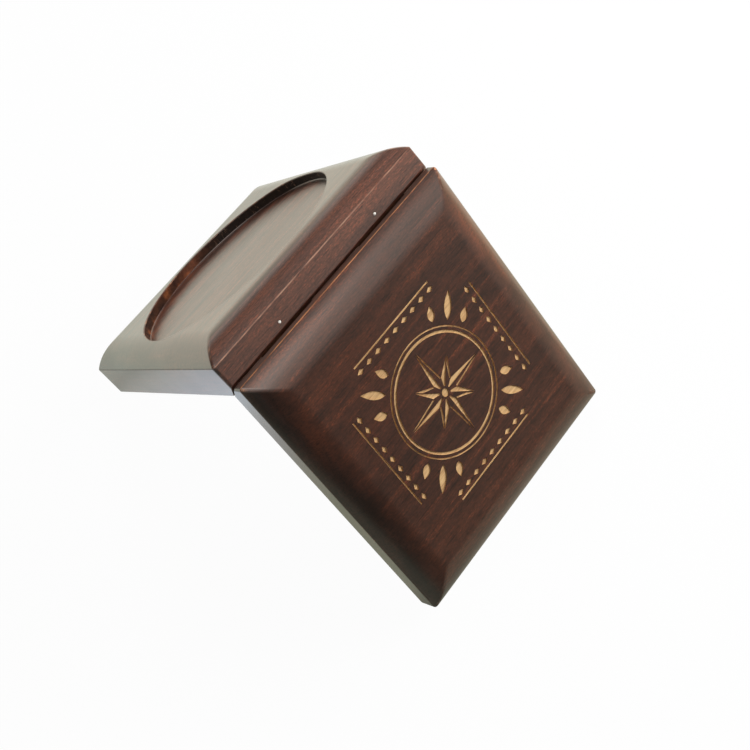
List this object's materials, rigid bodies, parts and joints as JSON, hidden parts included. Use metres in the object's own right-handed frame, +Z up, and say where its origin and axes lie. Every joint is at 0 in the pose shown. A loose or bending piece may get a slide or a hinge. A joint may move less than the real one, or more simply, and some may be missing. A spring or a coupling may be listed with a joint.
{
  "type": "hinged medal display case",
  "caption": "Small hinged wooden display case with two crowned leaves, one holding a medal in a round recess; it folds flat or stands open like a tent.",
  "frame": {"origin": "centre of the footprint, on the surface that the two free edges stand on", "axes": "+X along the spine, +Y out from the recess leaf, +Z up; the crest leaf faces -Y"},
  "size_m": [0.0852, 0.1306, 0.0752],
  "materials": {
    "recess_wood": "dark red-brown stain under satin varnish",
    "crest_wood": "dark red-brown stain under satin varnish, with a pale laser-cut ornament",
    "hinge_metal": "dulled olive brass",
    "pin_steel": "bare steel",
    "brad_steel": "bright cut steel",
    "magnet_metal": "nickel plate"
  },
  "bodies": {
    "recess_side": {"recess_leaf": "recess_wood", "recess_wing_near": "hinge_metal", "hinge_pin_near": "pin_steel", "recess_brad_near": "brad_steel", "recess_magnet_near": "magnet_metal", "recess_wing_far": "hinge_metal", "hinge_pin_far": "pin_steel", "recess_brad_far": "brad_steel", "recess_magnet_far": "magnet_metal"},
    "crest_side": {"crest_leaf": "crest_wood", "crest_wing_near": "hinge_metal", "crest_magnet_near": "magnet_metal", "crest_wing_far": "hinge_metal", "crest_magnet_far": "magnet_metal"}
  },
  "joints": [
    {"name": "spine_hinge", "type": "hinge", "parent": "recess_side", "child": "crest_side", "pos_m": [0, -0.00145, 0.066], "axis": [1, 0, 0], "range_deg": [-6, 83.5]}
  ]
}
